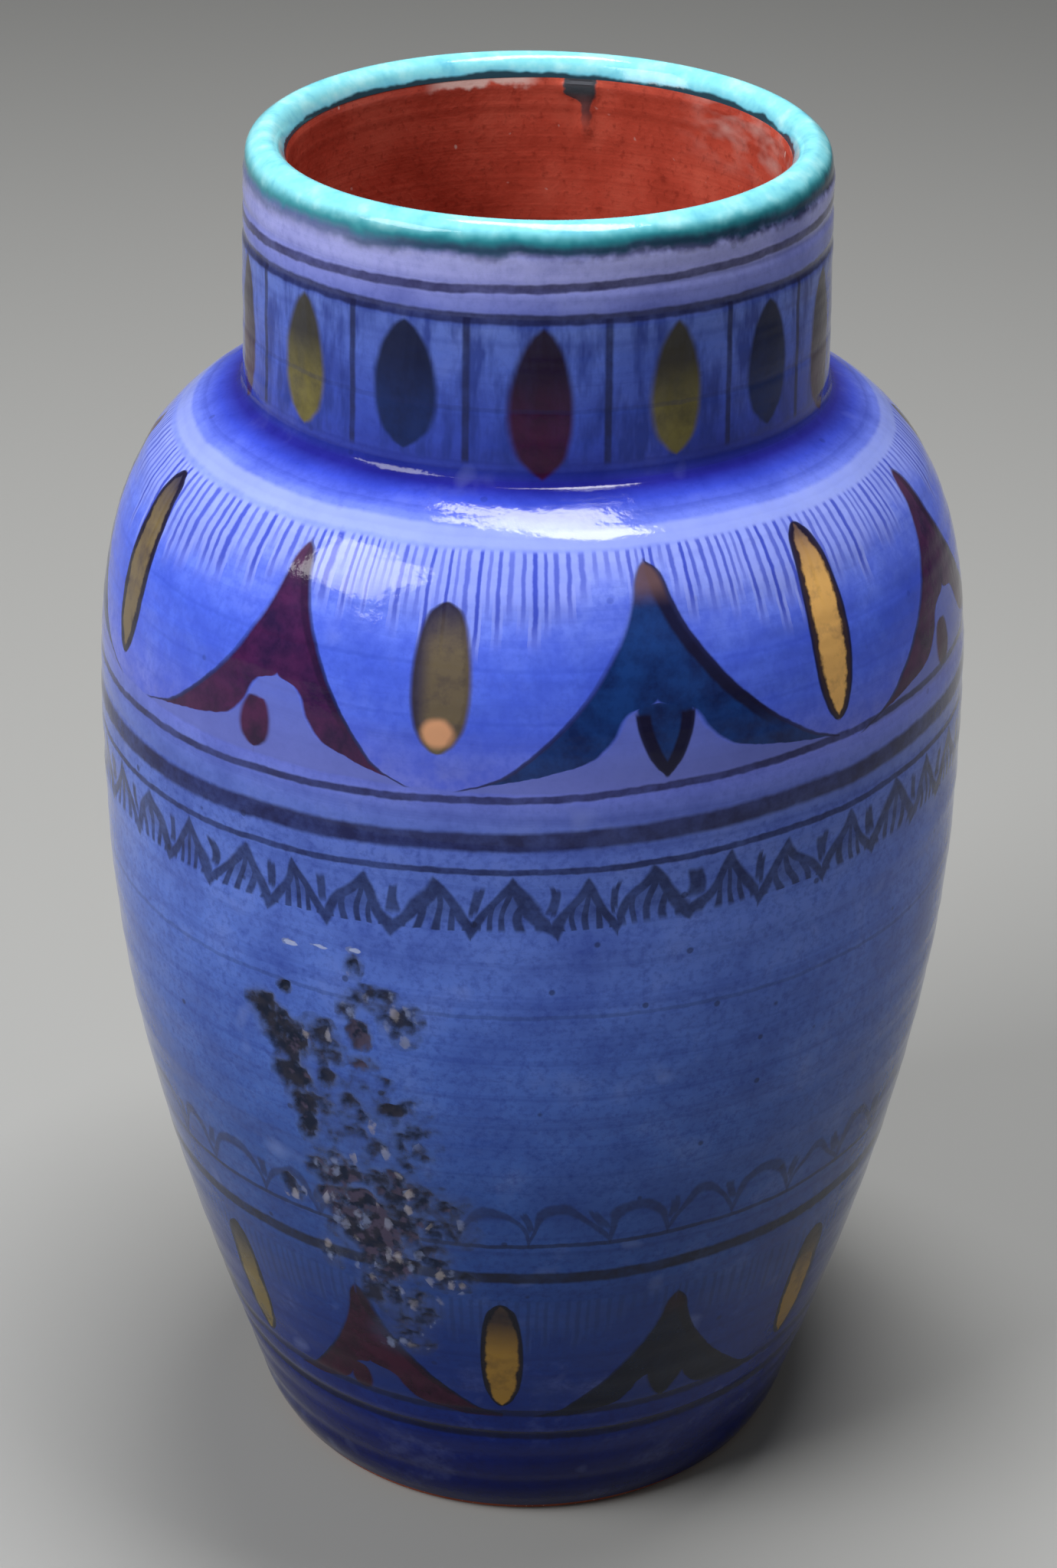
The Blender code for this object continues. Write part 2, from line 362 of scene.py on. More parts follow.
# Painted rings: run at the front, rise per mm to the right, half width, colour, strength
ringStops = [
    (25.6, 0.0, 1.3, "#090f2a", 0.9),
    (33.2, 0.0, 1.0, "#0b1230", 0.8),
    (75.3, 0.018, 1.4, "#10152a", 0.95),
    (84.0, 0.018, 0.45, "#131c3c", 0.8),
    (138.6, 0.01, 0.35, "#2a3d78", 0.4),
    (167.9, 0.047, 0.55, "#1a2150", 0.88),
    (173.8, 0.047, 1.85, "#1a1a48", 0.93),
    (181.9, 0.0475, 0.65, "#20204e", 0.9),
    (227.4, 0.0, 1.9, "#a3b2f6", 0.62),
    (252.4, 0.0, 0.35, "#1f2a60", 0.25),
    (268.8, 0.005, 1.0, "#22244c", 0.9),
    (274.8, 0.038, 0.8, "#33315c", 0.9),
]
ringReach = 6.0  # mm past a coat's end, up to where a leaning ring can still cross it


def glazeGround(add, space, speckle):
    share = add("MULTIPLY", space["run"], 1 / groundSpan)
    colour = add("ValToRGB", share, stops=[(run / groundSpan, text) for run, text in groundStops])
    deep = cover(colour, groundLook["deep"], 1.0, "MULTIPLY")
    pale = cover(colour, groundLook["pale"], 0.25)
    cloud = add("TexNoise", space["place"], 1 / 16, 4.0, 0.62)
    colour = cover(colour, deep, add("MapRange", cloud, 0.45, 0.75, 0.0, 0.6))
    colour = cover(colour, pale, add("MapRange", cloud, 0.45, 0.25, 0.0, 0.4))
    grain = add("TexNoise", space["place"], 1 / 1.5, 3.0, 0.7)
    colour = cover(colour, deep, add("MapRange", grain, 0.46, 0.74, 0.0, speckle))
    # brushed round while the vase turned
    streak = add("TexNoise", space["handRun"], 0.3, 3.0, 0.6, noise_dimensions="1D")
    colour = cover(colour, deep, add("MapRange", streak, 0.52, 0.8, 0.0, 0.45))
    # a few dark specks of ash and soft pale spots
    speck = add("TexVoronoi", space["place"], 1 / 9)
    colour = cover(colour, groundLook["speck"], times(within(speck, 0.05, 0.09), speckle))
    spot = add("TexNoise", add("VectorMath ADD", space["place"], (40.0, 9.0, 0.0)), 1 / 10, 1.0)
    return cover(colour, pale, add("MapRange", spot, 0.7, 0.85, 0.0, 0.6))


def paintRings(add, space, low, high):
    for level, tilt, half, text, strength in ringStops:
        if not low - ringReach < level < high + ringReach:
            continue
        off = awayFrom(space["handRun"], add("MULTIPLY_ADD", space["x"], tilt, level))
        yield text, times(within(off, half * 0.7, half * 1.2 + 0.15), space["load"], strength)


def spacedTurn(add, space, spacing, count, start):
    # evens out the painter's spacing, then counts motifs round the vase from the one at start
    points = [(0.0, 0.0), *[((a + 180) / 360, (b + 180) / 360) for a, b in spacing], (1.0, 1.0)]
    even = add("FloatCurve", 1.0, space["around"], points=points)
    return add("MULTIPLY_ADD", even, float(count), -(180 + start) * count / 360)


def nearest(add, turn):
    # nearest motif: its number and how far off it is, signed and plain
    number = add("ROUND", turn)
    off = add("SUBTRACT", turn, number)
    return number, off, add("ABSOLUTE", off)


def downFrom(add, space, band):
    # how far down a band a spot lies: nothing at its top, one at its foot
    level = add("MULTIPLY_ADD", space["x"], -band["tilt"], space["handRun"])
    return add("MapRange", level, band["top"], band["top"] - band["drop"], clamp=False)


def byNumber(add, number, choices):
    # the choice, a colour or a level, for each motif in turn
    count = len(choices)
    share = add("MULTIPLY_ADD", add("FLOORED_MODULO", number, float(count)), 1 / count, 0.5 / count)
    ramp = add("ValToRGB", share, stops=[(place / count, choice) for place, choice in enumerate(choices)])
    ramp.node.color_ramp.interpolation = "CONSTANT"
    return ramp


# Bands of arches: tents in the gaps between them, a leaf in each, combed strokes at the top
tentOuter = [
    (0, 0), (0.045, 0.023), (0.18, 0.045), (0.32, 0.073), (0.455, 0.115), (0.59, 0.165),
    (0.73, 0.232), (0.82, 0.285), (0.91, 0.35), (0.965, 0.43), (1.0, 0.5),
]
tentInner = [
    (0, 0), (0.6, 0.0), (0.64, 0.062), (0.755, 0.105), (0.836, 0.154),
    (0.88, 0.233), (0.91, 0.3), (0.94, 0.38), (1.0, 0.5),
]
tentTongue = [
    (0, 0), (0.6, 0.0), (0.62, 0.066), (0.66, 0.068), (0.81, 0.046),
    (0.9, 0.018), (0.935, 0.0), (1, 0),
]
leafHalf = [
    (0, 0), (0.03, 0.32), (0.1, 0.66), (0.3, 0.91), (0.55, 1.0),
    (0.75, 0.9), (0.9, 0.6), (0.97, 0.3), (1, 0),
]
arches = dict(
    count=7, widest=1.25, paintLoad=0.95,
    red=[0.0, 1.0, 0.0, 1.0, 0.0, 0.0, 1.0],  # which tents are red, from the one at start to the right
    brushed="#8a8298", blobPaint="#e2a470", combCount=35.0,
)
shoulderBand = dict(
    arches,
    top=222.6, drop=37.0, tilt=0.012, gapFrom=0.0, start=15.4,
    spacing=[(-65, -61.7), (-33.1, -36.0), (-11.3, -10.3), (15.4, 15.4), (41.0, 41.1), (69.2, 66.8)],
    reachLeft=[0.8, 0.76, 0.8, 0.84, 0.76, 0.8, 0.66],  # each tent's reach, in shares of the widest
    reachRight=[1.0, 0.8, 0.76, 0.84, 0.8, 0.88, 0.76],
    bluePaint="#113a7a", redPaint="#4b1338", apexPaint="#6e5355",
    # the first leaf, right of the front, is lighter than the rest: its own paint and painted light there
    leafPaints=["#f4bc60", "#8a7436", "#c9974a", "#8a7436", "#b98b40", "#7c6a38", "#6e6036"],
    archPaint="#465fe6", gapPaint="#6873c4",
    combPaint="#9caafa", combGap="#384ac2", combLoad=0.74,
    linePaint="#181430", tongueLine=0.95,
    leafWidth=0.058, leafDark=(0.3, 0.04), leafLine=-0.009, plump=1.0,
)
footBand = dict(
    arches,
    top=66.4, drop=32.0, tilt=0.006, gapFrom=0.07, start=23.5,
    spacing=[(-26.2, -27.9), (-3.4, -2.2), (23.5, 23.5), (51.2, 49.2)],
    reachLeft=[0.7, 0.64, 0.72, 0.71, 0.72, 0.67, 0.62],
    reachRight=[0.74, 0.76, 0.72, 0.71, 0.76, 0.74, 0.98],
    bluePaint="#0c1626", redPaint="#3a1124", apexPaint="#2a1c26",
    leafPaints=["#94722a", "#746228", "#94722a", "#746228", "#94722a", "#746228", "#98742a"],
    archPaint="#1d3478", gapPaint="#1a2f6e",
    combPaint="#3c5594", combGap="#152552", combLoad=0.3,
    linePaint="#0c0f20", tongueLine=0.3,
    leafWidth=0.064, leafDark=(0.48, 0.16), leafLine=-0.005, plump=0.0,
)


def paintMotifs(add, space, band):
    turn = spacedTurn(add, space, band["spacing"], band["count"], band["start"])
    number, off, side = nearest(add, turn)
    level = downFrom(add, space, band)
    tall = add("MapRange", level, 0.0, 1.1)
    inBand = between(level, -0.02, 0.0, 1.06, 1.08)
    line = linear(band["linePaint"])
    red = byNumber(add, number, band["red"])
    blue = within(red, 0.1, 0.2)
    # every tent reaches its own way to either side
    toRight = within(off, 0.001, -0.001)
    reaches = [byNumber(add, number, band[name]) for name in ("reachLeft", "reachRight")]
    tentSide = add("DIVIDE", side, times(add("Mix", toRight, *reaches), band["widest"]))
    outer = add("SUBTRACT", tentSide, add("FloatCurve", 1.0, tall, points=tentOuter))
    low = add("MapRange", level, band["gapFrom"], 1.1 + band["gapFrom"])
    inner = add("SUBTRACT", tentSide, add("FloatCurve", 1.0, low, points=tentInner))
    inTent = within(outer, -0.01, 0.005)
    inArch = times(within(outer, 0.006, -0.006), inBand)
    yield band["archPaint"], times(inArch, add("MapRange", space["brush"], 0.36, 0.6, 0.0, 0.5))
    under = times(inTent, within(inner, -0.012, 0.006), within(level, 0.66, 0.6), inBand)
    yield band["gapPaint"], times(under, 0.7)
    # combed strokes hang from the ring, pale and dark by turns, longest beside the leaf
    drift = add("TexNoise", turn, 5.0, 2.0, noise_dimensions="1D")
    count = add("MULTIPLY_ADD", drift, 3.0, times(turn, band["combCount"]))
    count = add("MULTIPLY_ADD", space["brush"], 0.5, count)
    stroke = add("PINGPONG", count, 0.5)
    chance = add("TexWhiteNoise", add("ROUND", count), noise_dimensions="1D")
    length = add("MULTIPLY_ADD", chance, 0.22, add("MapRange", side, 0.04, 0.4, 0.06, 0.25))
    hang = add("SUBTRACT", level, length)
    hung = times(within(outer, 0.006, -0.006), within(level, -0.05, -0.08))
    combed = times(within(hang, -0.14, 0.05), hung, band["combLoad"])
    yield band["combPaint"], times(combed, add("MapRange", space["brush"], 0.35, 0.6, 0.45, 1.0))
    combed = times(combed, add("MapRange", chance, 0.0, 1.0, 0.7, 1.3))
    yield band["combGap"], times(combed, within(stroke, 0.1, 0.3))
    # tents, brushed unevenly; the blue ones have an outlined tongue, the red ones a loose drop
    paint = byNumber(add, number, [band["redPaint" if isRed else "bluePaint"] for isRed in band["red"]])
    dark = cover(paint, band["brushed"], 1.0, "MULTIPLY")
    paint = cover(paint, dark, add("MapRange", space["brush"], 0.38, 0.66, 0.0, 0.9))
    tongueOff = add("SUBTRACT", awayFrom(off, 0.02), add("FloatCurve", 1.0, tall, points=tentTongue))
    inTongue = times(within(tongueOff, -0.008, 0.003), within(level, 0.68, 0.64), inBand, blue)
    dropHalf = add("FloatCurve", 1.0, add("MapRange", level, 0.78, 1.04), points=leafHalf)
    dropOff = add("SUBTRACT", awayFrom(off, -0.05), times(dropHalf, 0.045))
    inDrop = times(within(dropOff, -0.012, 0.004), red, inBand, within(level, 0.8, 0.78))
    fill = times(inTent, within(inner, 0.008, -0.006), inBand)
    yield paint, times(either(fill, inTongue, inDrop), band["paintLoad"])
    rightSide = between(outer, -0.037, -0.025, 0.002, 0.008)
    rightSide = times(rightSide, within(off, 0.008, -0.004), within(level, 0.75, 0.95), inBand)
    yield line, times(rightSide, add("MapRange", red, 0.0, 1.0, 0.9, 0.5))
    apex = times(within(level, 0.1, 0.24), inTent, inBand)
    yield band["apexPaint"], times(apex, add("MapRange", red, 0.0, 1.0, 0.75, 0.1))
    tongueLine = times(between(tongueOff, -0.036, -0.026, 0.001, 0.008), blue, band["tongueLine"])
    yield line, times(tongueLine, between(level, 0.7, 0.73, 1.02, 1.04))
    archLine = times(within(add("ABSOLUTE", outer), 0.003, 0.011), inBand)
    yield line, times(archLine, add("MapRange", level, 0.3, 0.8, 0.1, 0.8))
    # leaves: outlined, ochre, dark at the top; the one left of the front is shorter and softer,
    # with an orange blob at its foot
    leafNumber = add("FLOOR", turn)
    plump = add("FLOORED_MODULO", leafNumber, float(band["count"]))
    plump = times(within(plump, 5.8, 5.6), band["plump"])
    first = add("MULTIPLY_ADD", plump, 0.22, -0.03)
    span = add("MULTIPLY_ADD", plump, -0.28, 0.99)
    leaf = add("DIVIDE", add("SUBTRACT", level, first), span)
    width = add("MULTIPLY_ADD", plump, 0.018, band["leafWidth"])
    half = times(add("FloatCurve", 1.0, add("MapRange", leaf), points=leafHalf), width)
    edge = add("SUBTRACT", add("SUBTRACT", 0.5, side), half)
    inLeaf = between(leaf, -0.01, 0.01, 0.99, 1.01)
    leafPaint = byNumber(add, leafNumber, band["leafPaints"])
    leafPaint = cover(leafPaint, line, add("MapRange", leaf, *band["leafDark"], 0.0, 0.85))
    leafPaint = cover(leafPaint, line, add("MapRange", space["brush"], 0.5, 0.8, 0.0, 0.6))
    leafOff = add("SUBTRACT", add("SUBTRACT", turn, leafNumber), 0.5)
    leafPaint = cover(leafPaint, line, times(within(leafOff, -0.065, -0.015), plump, 0.7))
    blobRise = add("MULTIPLY_ADD", leaf, 9.2, -7.9)
    blobSide = add("MULTIPLY", leafOff, 21.0)
    blob = add("VectorMath LENGTH", add("CombineXYZ", blobRise, blobSide, 0.0)).node.outputs["Value"]
    leafPaint = cover(leafPaint, band["blobPaint"], times(within(blob, 0.6, 1.15), plump, 0.95))
    soft = add("MapRange", plump, 0.0, 1.0, 0.003, 0.012)
    yield leafPaint, times(within(edge, -0.008, soft), inLeaf, band["paintLoad"])
    thick = add("SUBTRACT", edge, add("MapRange", space["brush"], 0.35, 0.65, 0.005, -0.008))
    inLine = within(thick, band["leafLine"], band["leafLine"] - 0.01)
    outline = times(within(edge, 0.002, 0.008), inLine, inLeaf)
    yield line, times(outline, add("MapRange", plump, 0.0, 1.0, 0.95, 0.2))


# Zigzags: hatched peaks under the thick band, open arcs above the lower one
upperZigzag = dict(
    count=40, start=-2.4, top=165.4, drop=9.0, tilt=0.047,
    bend=1.0, line=0.12, paint="#0e1230", load=0.8, hatched=True,
)
lowerZigzag = dict(
    count=36, start=5.1, top=93.4, drop=8.2, tilt=0.018,
    bend=2.2, line=0.09, paint="#121a40", load=0.62, hatched=False,
)


def paintZigzag(add, space, zigzag):
    turn = spacedTurn(add, space, [], zigzag["count"], zigzag["start"])
    sway = add("TexNoise", space["place"], 1 / 14, 1.0)
    number, _, side = nearest(add, add("SUBTRACT", add("MULTIPLY_ADD", sway, 0.7, turn), 0.35))
    chance = add("TexWhiteNoise", number, noise_dimensions="1D")
    peak = add("POWER", add("MULTIPLY", side, 2.0), zigzag["bend"])
    level = add("SUBTRACT", add("MULTIPLY_ADD", chance, 0.14, downFrom(add, space, zigzag)), 0.07)
    rise = add("SUBTRACT", level, peak)
    mask = within(add("ABSOLUTE", rise), zigzag["line"], zigzag["line"] + 0.14)
    if zigzag["hatched"]:
        # strokes fan down inside each peak
        stroke = add("PINGPONG", add("MULTIPLY", side, 5.0), 0.5)
        inPeak = within(rise, 0.0, -0.12)
        ends = add("MULTIPLY_ADD", chance, 0.2, 0.95)
        hatch = times(within(stroke, 0.16, 0.34), inPeak, within(level, 0.95, ends))
        shade = times(inPeak, within(level, 0.5, 1.0), 0.5)
        mask = either(mask, hatch, shade)
    tick = between(level, 0.0, 0.15, 0.55, 0.75)
    mask = either(mask, times(tick, within(side, 0.45, 0.41)))
    ends = between(level, -0.24, -0.12, 1.14, 1.24)
    yield zigzag["paint"], times(mask, ends, space["load"], zigzag["load"])


# Neck: a row of leaves parted by thin upright lines
neckLeafHalf = [
    (0, 0), (0.04, 0.24), (0.1, 0.46), (0.34, 0.89), (0.57, 1.0), (0.79, 0.86), (0.92, 0.5), (1, 0),
]
neckRow = dict(
    count=15, spacing=[
        (-73.4, -72), (-62.2, -60), (-48.2, -48), (-35.7, -36), (-24.6, -24), (-12.7, -12), (1.3, 0),
        (13.2, 12), (26.6, 24), (37.8, 36), (48.3, 48), (57.8, 60), (69.7, 72),
    ],
    top=267.6, drop=25.0, tilt=0.0, half=0.255, panels=(242.0, 243.5, 268.5, 269.0),
    widths=[0.94, 0.84, 1.14],
    lower=[-0.02, 0.01, 0.01],  # how far each kind of leaf sits below the line, in shares of the drop
    lengths=[1.1, 0.98, 0.93],
    paints=["#430b2a", "#7e742e", "#0c265c"],
    brushed="#6c6c80", linePaint="#1c2148", patchPaint="#263a90",
)


def paintNeck(add, space, row):
    turn = spacedTurn(add, space, row["spacing"], row["count"], 0.0)
    number, _, side = nearest(add, turn)
    inRow = between(space["run"], *row["panels"])
    # the panels are filled with short upright strokes of a deeper blue
    stroke = add("VectorMath MULTIPLY", space["place"], (1 / 4, 1 / 4, 1 / 15))
    patch = add("MapRange", add("TexNoise", stroke, 1.0, 3.0, 0.6), 0.44, 0.62, 0.0, 0.8)
    yield row["patchPaint"], times(inRow, patch)
    yield row["linePaint"], times(within(side, 0.486, 0.46), inRow, space["load"], 0.85)
    level = add("SUBTRACT", downFrom(add, space, row), byNumber(add, number, row["lower"]))
    level = add("DIVIDE", level, byNumber(add, number, row["lengths"]))
    half = add("FloatCurve", 1.0, add("MapRange", level), points=neckLeafHalf)
    half = times(half, byNumber(add, number, row["widths"]), row["half"])
    edge = add("SUBTRACT", side, half)
    inLeaf = times(within(edge, -0.05, 0.025), between(level, -0.01, 0.0, 1.0, 1.01))
    paint = byNumber(add, number, row["paints"])
    dark = cover(paint, row["brushed"], 1.0, "MULTIPLY")
    paint = cover(paint, dark, add("MapRange", space["brush"], 0.4, 0.66, 0.0, 0.5))
    paint = cover(paint, dark, add("MapRange", level, 0.65, 0.3, 0.0, 0.9))
    yield paint, times(inLeaf, 0.94)


# Where the turquoise of the lip thins out over the blue: lower on the left. Its teal band, spread up
# the lip's lower outer face, is thinned glaze and painted shade there
lipEdge = dict(run=282.9, leftDrop=-1.5, teal="#2f94a2", dark="#1c465e", navy="#23234e")


def paintLipEdge(add, space, colour):
    ragged = add("TexNoise", space["place"], 1 / 9, 3.0, 0.6)
    edge = add("MULTIPLY_ADD", ragged, 4.0, lipEdge["run"] - 2.0)
    edge = add("ADD", edge, add("MapRange", space["x"], -14.0, -38.0, 0.0, lipEdge["leftDrop"]))
    off = add("SUBTRACT", space["handRun"], edge)
    thin = add("TexNoise", space["place"], 1 / 5, 3.0, 0.6)
    # navy and dark teal under the lip, more of both towards the right
    navy = times(within(off, -2.0, -3.6), add("MapRange", space["x"], -30.0, 35.0, 0.2, 0.95))
    navy = times(navy, add("MapRange", thin, 0.36, 0.5, 0.3, 1.0))
    colour = cover(colour, lipEdge["navy"], navy)
    dark = times(within(off, -1.0, -2.6), add("MapRange", space["x"], -38.0, -20.0, 0.5, 0.9))
    colour = cover(colour, lipEdge["dark"], dark)
    colour = cover(colour, lipEdge["teal"], within(off, 1.2, -0.9))
    return colour, off, ragged, thin


def glazeRelief(add, space, shader, strength):
    # the faint dimpling of a brushed, run glaze
    dimple = add("TexNoise", space["place"], 1 / 2.6, 3.0, 0.55)
    plug(shader, "Normal", add("Bump", strength, 0.0002, None, dimple))


# Flaked patch of the belly
wearLook = dict(
    dulled="#5a6a9a", smudge="#2c3347", clay="#50475f", longChips="#b4c0e6",
    pits=[(0.4, "#101a30"), (0.6, "#2a2a38")],
    chips=[(0.3, "#7f8bb0"), (0.8, "#a39c9e")],
)


def paintWear(add, space, colour):
    # flaked glaze: dulled and smudged round about, dark pits with ragged edges, some bare clay, pale chips
    wear = add("Attribute", attribute_name="wear").node.outputs
    colour = cover(colour, wearLook["dulled"], times(wear["Alpha"], 0.55))
    parts = add("SeparateColor", wear["Color"]).node.outputs
    fine = add("SUBTRACT", add("TexNoise", space["place"], 1 / 1.1, 3.0, 0.6), 0.5)
    pit = add("MULTIPLY_ADD", parts["Red"], 3.0, -1.0)
    colour = cover(colour, wearLook["smudge"], add("MapRange", pit, 0.0, 0.9, 0.0, 0.7))
    pit = within(add("MULTIPLY_ADD", fine, 1.3, pit), 1.0, 0.22)
    dark = add("ValToRGB", add("TexNoise", space["place"], 1 / 3, 2.0), stops=wearLook["pits"])
    colour = cover(colour, dark, times(pit, add("MapRange", wear["Alpha"], 0.4, 1.0, 0.8, 0.97)))
    patch = add("TexNoise", add("VectorMath ADD", space["place"], (5.0, 31.0, 7.0)), 1 / 2.4, 2.0)
    patch = add("MULTIPLY_ADD", add("SUBTRACT", patch, 0.5), 3.0, parts["Blue"])
    colour = cover(colour, wearLook["clay"], times(pit, within(patch, 0.95, 0.5), 0.8))
    long = add("VectorMath MULTIPLY", space["place"], (1.0, 1.0, 0.6))
    chip = add("TexVoronoi", long, 1 / 2.0).node.outputs
    chance = add("SeparateColor", chip["Color"]).node.outputs
    short = add("SUBTRACT", chance["Red"], parts["Green"])
    size = add("MULTIPLY_ADD", fine, 0.9, chip["Distance"])
    pale = times(within(size, 0.2, 0.65), within(short, -0.1, -0.02))
    tone = add("ValToRGB", chance["Green"], stops=wearLook["chips"])
    colour = cover(colour, tone, times(pale, 0.66))
    colour = cover(colour, wearLook["longChips"], times(within(parts["Green"], 1.7, 1.2), 0.8))
    return colour, either(pit, pale)


def paintBands(add, space, coat):
    # the painter's strokes in turn: paint, and how far it covers
    if "motifs" in coat:
        yield from paintMotifs(add, space, coat["motifs"])
    for zigzag in coat.get("zigzags", []):
        yield from paintZigzag(add, space, zigzag)
    if "leaves" in coat:
        yield from paintNeck(add, space, coat["leaves"])
    yield from paintRings(add, space, *coat["between"])


def paintedGlaze(coat):
    # glossy cobalt glaze with the painted bands: deep wet blue, darker where it pooled, duller where worn;
    # its ground holds painted shade low on the body and painted light on the shoulder
    worn = "patch" in coat
    look = wornLook if worn else glazeLook
    material, add, shader = newMaterial(coat["material"], glazeLook["roughness"], look["specular"])
    space = paintSpace(add)
    colour = glazeGround(add, space, look["speckle"])
    for paint, mask in paintBands(add, space, coat):
        colour = cover(colour, paint, mask)
    if "leaves" in coat:
        colour = paintLipEdge(add, space, colour)[0]
    if worn:
        colour, bare = paintWear(add, space, colour)
        rough = add("MapRange", bare, 0.0, 1.0, glazeLook["roughness"], wornLook["roughness"])
        plug(shader, "Roughness", rough)
    plug(shader, "Base Color", colour)
    glazeRelief(add, space, shader, glazeLook["relief"])
    return material


# Lower glaze: from just above the foot to the joint under the thick band
lowerCoat = dict(
    name="lowerGlazeCoat", node="lower_glaze", slot="cobalt_glaze", material="cobaltGlazeBelly",
    between=(0.0, marks["joint"]), spacing=1.1, rows=2,
    grooves=[(33.2, 0.2, 0.9), (25.6, 0.35, 1.2), (17.5, 0.2, 1.6), (9.5, 0.25, 1.4)],
    motifs=footBand, zigzags=[upperZigzag, lowerZigzag],
    patch=((-42, -4), (44, 152)), depth=0.5,
)
# flaked patch: angle, run, half angle, half height, share of the glaze gone, pale share, bare clay
flakes = [
    (-35.2, 131, 2.0, 2.6, 1.0, 0.0, 0.1),
    (-33.4, 128, 2.4, 3.1, 1.0, 0.0, 0.1),
    (-31.1, 125, 2.4, 3.7, 1.0, 0.05, 0.2),
    (-31.0, 118, 2.4, 3.2, 0.95, 0.1, 0.2),
    (-29.9, 112, 2.0, 3.1, 0.9, 0.15, 0.2),
    (-29.7, 106, 1.3, 2.7, 0.85, 0.1, 0.1),
    (-31.7, 137, 0.8, 1.1, 0.9, 0.0, 0.0),
    (-26.8, 127, 2.6, 4.0, 0.72, 0.25, 0.1),
    (-26.1, 119, 1.3, 1.9, 0.75, 0.2, 0.1),
    (-26.8, 112, 1.3, 2.4, 0.6, 0.2, 0.1),
    (-21.8, 145, 1.0, 2.1, 0.62, 0.1, 0.0),
    (-18.8, 139, 2.6, 2.1, 0.7, 0.6, 0.2),
    (-22.6, 136, 1.2, 2.1, 0.65, 0.3, 0.2),
    (-15.6, 135, 2.2, 3.6, 0.55, 0.85, 0.1),
    (-21.2, 131, 1.3, 2.7, 0.85, 0.0, 1.0),
    (-20.8, 125, 1.7, 1.3, 0.8, 0.0, 1.0),
    (-23.4, 115, 1.4, 1.9, 0.65, 0.1, 0.0),
    (-17.4, 115, 1.6, 1.2, 1.0, 0.0, 0.2),
    (-20.1, 109, 6.5, 9.5, 0.34, 0.6, 0.2),
    (-34.1, 88, 1.6, 2.4, 0.5, 0.9, 0.1),
    (-26.2, 96, 3.2, 4.3, 0.75, 0.5, 0.5),
    (-24.4, 89, 3.9, 4.8, 0.92, 0.4, 0.8),
    (-17.9, 96, 3.2, 3.8, 0.8, 0.5, 0.5),
    (-21.7, 83, 4.9, 5.5, 0.95, 0.4, 0.7),
    (-16.1, 88, 3.2, 4.8, 0.75, 0.3, 0.4),
    (-19.1, 76, 3.8, 3.6, 0.85, 0.55, 0.6),
    (-13.6, 95, 1.6, 2.3, 0.55, 0.5, 0.2),
    (-14.3, 79, 3.2, 3.6, 0.6, 0.3, 0.3),
    (-21.3, 68, 2.9, 4.8, 0.58, 0.9, 0.3),
    (-17.5, 63, 3.8, 4.6, 0.48, 1.0, 0.2),
    (-19.1, 54, 3.8, 4.0, 0.38, 1.1, 0.1),
    (-11.6, 73, 3.9, 2.7, 0.32, 0.9, 0.1),
    (-29.0, 74, 1.6, 3.6, 0.5, 0.6, 0.2),
    (-11.5, 92, 3.6, 4.0, 0.46, 0.3, 0.2),
    (-9.2, 86, 2.6, 2.8, 0.4, 0.2, 0.1),
]
# longer pale chips above it: angle, run, half angle, half height
chips = [(-30.2, 146.6, 1.2, 0.5), (-26.2, 147.6, 1.6, 0.45), (-21.4, 148.6, 0.9, 0.7)]


def flaked(angle, run):
    share, white, bare = 0.0, 0.0, 0.0
    for a, r, halfAngle, halfRun, most, pale, clay in flakes:
        away = math.hypot((angle - a) / halfAngle, (run - r) / halfRun)
        here = most * ease(away, 2.0, 0.5)
        if here > share:
            share, white, bare = here, pale, clay
    return share, white, bare


def inPatch(vert, run):
    (left, right), (low, high) = lowerCoat["patch"]
    return left < wayRound(vert) < right and low < vert[run] < high


def refinePatch(bm):
    # finer mesh where the glaze has flaked
    run, outR, outZ = layersOf(bm)
    edges = [e for e in bm.edges if all(v[outR] > 0 and inPatch(v, run) for v in e.verts)]
    made = bmesh.ops.subdivide_edges(bm, edges=edges, cuts=2, use_grid_fill=True)["geom_inner"]
    for vert in [g for g in made if isinstance(g, bmesh.types.BMVert)]:
        vert[run] = float(np.interp(vert.co.z / mm, heights[:creasePlace], runs[:creasePlace]))
        vert[outR], vert[outZ] = onRun(vert[run])[1]


def wearPatch(bm):
    # pits in the flaked patch, and what each spot shows: pit, pale chips, bare clay, share of the glaze gone
    run, outR, _ = layersOf(bm)
    wear = bm.verts.layers.float_color.new("wear")
    for vert in bm.verts:
        vert[wear] = (0, 0, 0, 0)
        if vert[outR] == 0 or not inPatch(vert, run):
            continue
        place = vert.co / mm
        angle = wayRound(vert)
        share, white, bare = flaked(angle, vert[run])
        rough = noise.noise(place / 3.0) + 0.5 * noise.noise(place / 1.3)
        near = ease(share, 0.0, 0.12)
        field = share + 0.7 * rough * near - (1 - near)
        pale = share * (0.12 + 0.75 * white)
        for a, r, halfAngle, halfRun in chips:
            far = math.hypot((angle - a) / halfAngle, (vert[run] - r) / halfRun) + 0.5 * rough
            pale = max(pale, 2.0 * ease(far, 1.4, 0.6))
        vert[wear] = (max(field + 1, 0.0) / 3, pale, bare, share)
        level = Vector((vert.co.x, vert.co.y, 0)).normalized()
        vert.co -= level * lowerCoat["depth"] * ease(field, 0.35, 0.85) * mm


def makeCoat(coat, material):
    low, high = coat["between"]
    bm = turnPiece(coatOutline(low, high, coat["spacing"]), shownSteps)
    if "patch" in coat:
        refinePatch(bm)
    stripMap(bm, low, high, coat["rows"])
    shapeCoat(bm, coat["grooves"])
    if "patch" in coat:
        wearPatch(bm)
    finishPiece(coat["name"], bm, [coat["node"]], coat["slot"], material)


makeCoat(lowerCoat, paintedGlaze(lowerCoat))

